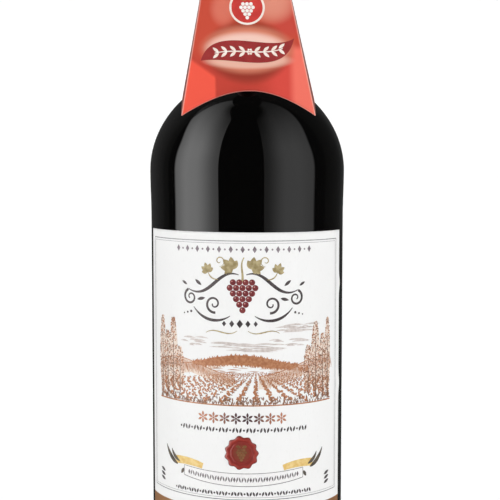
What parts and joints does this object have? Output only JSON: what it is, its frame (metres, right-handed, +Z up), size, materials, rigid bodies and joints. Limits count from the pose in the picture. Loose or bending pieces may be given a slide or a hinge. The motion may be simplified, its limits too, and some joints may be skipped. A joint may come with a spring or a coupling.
{
  "type": "wine bottle",
  "caption": "Tall straight-sided dark glass wine bottle with a domed shoulder, foil capsule, arched card collar round its neck and a wide wrap-round paper label.",
  "frame": {"origin": "middle of the bottle's foot, on the surface that it stands on", "axes": "+Z up along the bottle, -Y towards the front of the label, +X to the label's right as it is read"},
  "size_m": [0.0764, 0.0765, 0.2996],
  "materials": {
    "glass": "very dark, polished",
    "capsule_foil": "satin burgundy foil",
    "collar_card": "glossy printed card",
    "label_paper": "matt uncoated paper with fine printed ornament"
  },
  "bodies": {
    "root": {"bottle": "glass", "capsule": "capsule_foil", "collar": "collar_card", "label": "label_paper"}
  },
  "joints": []
}
